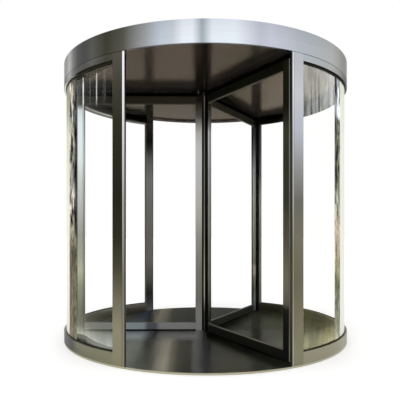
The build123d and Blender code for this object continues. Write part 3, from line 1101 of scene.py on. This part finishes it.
def buildWing():  # one wing drawn along X, to be copied three times
    innerNear, innerFar, low, high = leafPart("inner_stile")
    outerNear, outerFar, low, high = leafPart("outer_stile")
    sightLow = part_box("wing_3_bottom_rail")[1].z
    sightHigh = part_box("wing_3_top_rail")[0].z
    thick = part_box("wing_3_inner_stile")[1].y
    bevel = leaf["bevel"]
    slot = leaf["glassHalf"] + leaf["slack"]
    bite = leaf["glassBite"] + leaf["slack"]

    bodyEnd = outerFar - leaf["holder"] - leaf["groove"]
    inner = bothFaces([(innerNear, -thick), (innerFar, -thick), (innerFar, -slot), (innerFar - bite, -slot)])
    outer = bothFaces([(bodyEnd, thick), (outerNear, thick), (outerNear, slot), (outerNear + bite, slot)])
    start, deep = outerFar - leaf["holder"], outerFar - leaf["holderDeep"]
    wide, neck = thick - leaf["holderThin"], thick - leaf["grooveDeep"]
    core = pile["core"] + pile["coreSlack"]
    holder = bothFaces([
        (bodyEnd, -neck), (start, -neck), (start, -wide), (outerFar, -wide), (outerFar, -core), (deep, -core),
    ])

    def railOutline(edge, other):  # edge is the side with the glass groove
        end = edge + math.copysign(bite, other - edge)
        outline = bothFaces([(other, thick), (edge, thick), (edge, slot), (end, slot)])
        return [(across, up) for up, across in outline]

    sight = (innerFar, outerNear, sightLow, sightHigh)
    return {
        "inner": raiseOutline("inner", inner, low, high, bevel),
        "outer": raiseOutline("outer", outer, low, high, bevel),
        "holder": raiseOutline("holder", holder, low, high, leaf["holderBevel"]),
        "bottom": runOutline("bottom", railOutline(sightLow, low), innerFar, outerNear, bevel),
        "top": runOutline("top", railOutline(sightHigh, high), innerFar, outerNear, bevel),
        "bead": buildBeads(*sight),
        "glass": buildLeafGlass(*sight),
        "brush": buildBrushes(innerFar, outerFar, low, high),
    }


def buildBeads(near, far, low, high):  # a frame on each face, sloping down to the glass
    foot, thick, slope = leaf["glassHalf"], leaf["beadThick"], leaf["beadSlope"]
    sides = []
    for side in (-1, 1):
        clearSelection()
        place = ((near + far) / 2, side * (foot + thick), (low + high) / 2)
        bpy.ops.mesh.primitive_plane_add(size=1, location=place, rotation=(quarterTurn, 0, 0))
        piece = bpy.context.object
        piece.scale = (far - near, high - low, 1)
        placeInMesh(piece)
        editAll(piece, "FACE")
        bpy.ops.mesh.inset(thickness=leaf["beadWide"] - slope, depth=0)
        bpy.ops.mesh.inset(thickness=slope, depth=0)
        bpy.ops.transform.translate(value=(0, -side * (thick - leaf["beadFoot"]), 0))
        bpy.ops.mesh.delete(type="FACE")
        bpy.ops.object.mode_set(mode="OBJECT")
        editAll(piece, "FACE")
        bpy.ops.mesh.extrude_region_move(TRANSFORM_OT_translate={"value": (0, 0, 0)})
        bpy.ops.transform.resize(value=(1, 0, 1), center_override=(0, side * foot, 0))
        cleanUp(piece)
        softenEdges(piece, leaf["beadBevel"], 1)
        sides.append(piece)
    return joinPieces("bead", sides)


def buildLeafGlass(near, far, low, high):
    bite, half = leaf["glassBite"], leaf["glassHalf"]
    low, high = (near - bite, -half, low - bite), (far + bite, half, high + bite)
    return block("glass", low, high, leaf["glassBevel"])


def tuftRow(name, place, size, step, length, tip):  # one tuft, tapered towards its tip, then repeated
    tuft = addCube(name, place, size)
    for polygon in tuft.data.polygons:
        polygon.select = polygon.normal.dot(tip) > 0.9
    bpy.ops.object.mode_set(mode="EDIT")
    bpy.ops.mesh.select_mode(type="FACE")
    end = Vector(place) + Vector([a * b / 2 for a, b in zip(tip, size)])
    bpy.ops.transform.resize(value=[pile["taper"]] * 3, center_override=end)
    bpy.ops.object.mode_set(mode="OBJECT")
    addModifier(tuft, "ARRAY", {
        "count": int((length - 2 * pile["pitch"]) / pile["pitch"]), "use_relative_offset": False,
        "use_constant_offset": True, "constant_offset_displace": step,
    })
    return tuft


def buildBrushes(near, far, low, high):
    end, core, short, pitch = pile["endGap"], pile["core"], pile["short"], pile["pitch"]
    tip = innerRadius - end
    bottom, top = floorTop + end, ceilingZ - end
    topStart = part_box("upper_bearing")[1].x + pile["bearingGap"]
    sunk = far - leaf["holderDeep"]
    cores = {
        "core_edge": ((sunk, -core, bottom + short), (tip - short, core, top - short)),
        "core_bottom": ((near, -core, bottom + short), (sunk, core, low)),
        "core_top": ((topStart, -core, high), (sunk, core, top - short)),
    }
    parts = [block(name, start, stop, pile["coreBevel"]) for name, (start, stop) in cores.items()]
    wide, deep, tall = pile["tuftWide"], core * pile["full"], 2 * short
    flat, up = (wide, deep, tall), (tall, deep, wide)
    for row in range(pile["rows"]):
        y = core * (row - 0.5)
        first = pitch + row * pitch / 2
        rows = {
            "edge_tufts": ((tip - short, y, bottom + first), up, (0, 0, pitch), top - bottom, (1, 0, 0)),
            "bottom_tufts": ((near + first, y, bottom + short), flat, (pitch, 0, 0), tip - near, (0, 0, -1)),
            "top_tufts": ((topStart + first, y, top - short), flat, (pitch, 0, 0), tip - topStart, (0, 0, 1)),
        }
        for name, (place, size, step, length, towards) in rows.items():
            parts.append(tuftRow(name, place, size, step, length, Vector(towards)))
    return joinPieces("brush", parts)


def leafSteel(wing, part):
    return brushedSteel("leaf_steel_" + part + "_" + wing, {
        "grain": "along" if part in ("top", "bottom") else "up",
        "follow": "side" if (wing, part) == ("wing_3", "bottom") else "height",
        "tones": leafTones[wing][part],
        "shade": leafShade.get(part + "_" + wing, {}),
        "metal": 0.5,
    })


def hangWings():
    shapes = buildWing()
    names = {  # the beginning of each piece's name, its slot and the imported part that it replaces
        "inner": ("stile_inner_", "wing_steel", ["inner_stile"]),
        "outer": ("stile_outer_", "wing_steel", ["outer_stile"]),
        "holder": ("brush_holder_", "wing_steel", []),
        "bottom": ("leaf_rail_bottom_", "wing_steel", ["bottom_rail"]),
        "top": ("leaf_rail_top_", "wing_steel", ["top_rail"]),
        "bead": ("leaf_beads_", "bead", ["glazing_beads"]),
        "glass": ("leaf_glass_", "wing_glass", ["glass"]),
        "brush": ("leaf_brush_", "brush", ["edge_brushes"]),
    }
    plainFinishes = {"glass": wingGlassFinish, "brush": brushFinish}
    for wing, angle in wings.items():
        for part, shape in shapes.items():
            name, slot, nodes = names[part]
            piece = copyPiece(shape, name + wing, math.radians(angle - 90))
            finish = plainFinishes[part] if part in plainFinishes else leafSteel(wing, part)
            finishPiece(piece, "rotor", slot, finish, *[wing + "_" + node for node in nodes])
    for shape in shapes.values():
        bpy.data.objects.remove(shape)


hangWings()
print("stage: wings built")


# Setting

setting = {
    "floorSize": 60, "floorDrop": 0.0005, "floorColour": (0.9, 0.9, 0.9, 1), "glow": 0.3, "worldLight": 0.9,
    "lampPower": 50, "lampSize": 4, "lampPlace": (-2.5, -4.5, 5), "lampTilt": 45, "lampTurn": -30,
}


def seenRays(finish):  # 1 for rays straight from the eye, from a mirror or through glass
    rays = finish.add("ShaderNodeLightPath", {}, {}, "Is Camera Ray")
    seen = rays
    for kind in ("Is Glossy Ray", "Is Transmission Ray"):
        seen = finish.work("MAXIMUM", seen, Wire(finish, rays.socket.node.outputs[kind]))
    return seen


def buildSetting():
    clearSelection()
    bpy.ops.mesh.primitive_plane_add(size=setting["floorSize"], location=(0, 0, -setting["floorDrop"]))
    floor = bpy.context.object
    floor.name = "studio_floor"
    pale = Finish(bpy.data.materials.new("studio_floor"))
    shader = pale.add("ShaderNodeBsdfDiffuse", {}, {"Color": setting["floorColour"]})
    strength = seenRays(pale) * setting["glow"]
    glow = pale.add("ShaderNodeEmission", {}, {"Color": (1, 1, 1, 1), "Strength": strength})
    floor.data.materials.append(pale.done(pale.add("ShaderNodeAddShader", {}, {0: shader, 1: glow})))

    world = Finish(bpy.data.worlds.new("studio_world"), "ShaderNodeOutputWorld")
    plain = world.add("ShaderNodeBackground", {}, {"Color": (1, 1, 1, 1), "Strength": 1.0})
    soft = world.add("ShaderNodeBackground", {}, {"Color": (1, 1, 1, 1), "Strength": setting["worldLight"]})
    mixed = world.add("ShaderNodeMixShader", {}, {0: seenRays(world), 1: soft, 2: plain})
    bpy.context.scene.world = world.done(mixed)

    lamp = bpy.data.lights.new("soft_box", "AREA")
    lamp.shape = "SQUARE"
    lamp.size = setting["lampSize"]
    lamp.energy = setting["lampPower"]
    box = bpy.data.objects.new("soft_box", lamp)
    box.location = setting["lampPlace"]
    box.rotation_euler = (math.radians(setting["lampTilt"]), 0, math.radians(setting["lampTurn"]))
    box.visible_glossy = False
    bpy.context.scene.collection.objects.link(box)


buildSetting()


# Camera

eye = {"place": (-0.0896, -4.4162, 1.0070), "turn": -0.55, "sensor": 36, "lens": 42.744, "shift": 0.06015}


def buildCamera():
    data = bpy.data.cameras.new("camera")
    data.sensor_width = eye["sensor"]
    data.lens = eye["lens"]
    data.shift_y = eye["shift"]
    camera = bpy.data.objects.new("camera", data)
    camera.location = eye["place"]
    camera.rotation_euler = (quarterTurn, 0, math.radians(eye["turn"]))
    bpy.context.scene.collection.objects.link(camera)
    bpy.context.scene.camera = camera


buildCamera()
bpy.context.scene.view_settings.view_transform = "Standard"
print("stage: setting and camera made")
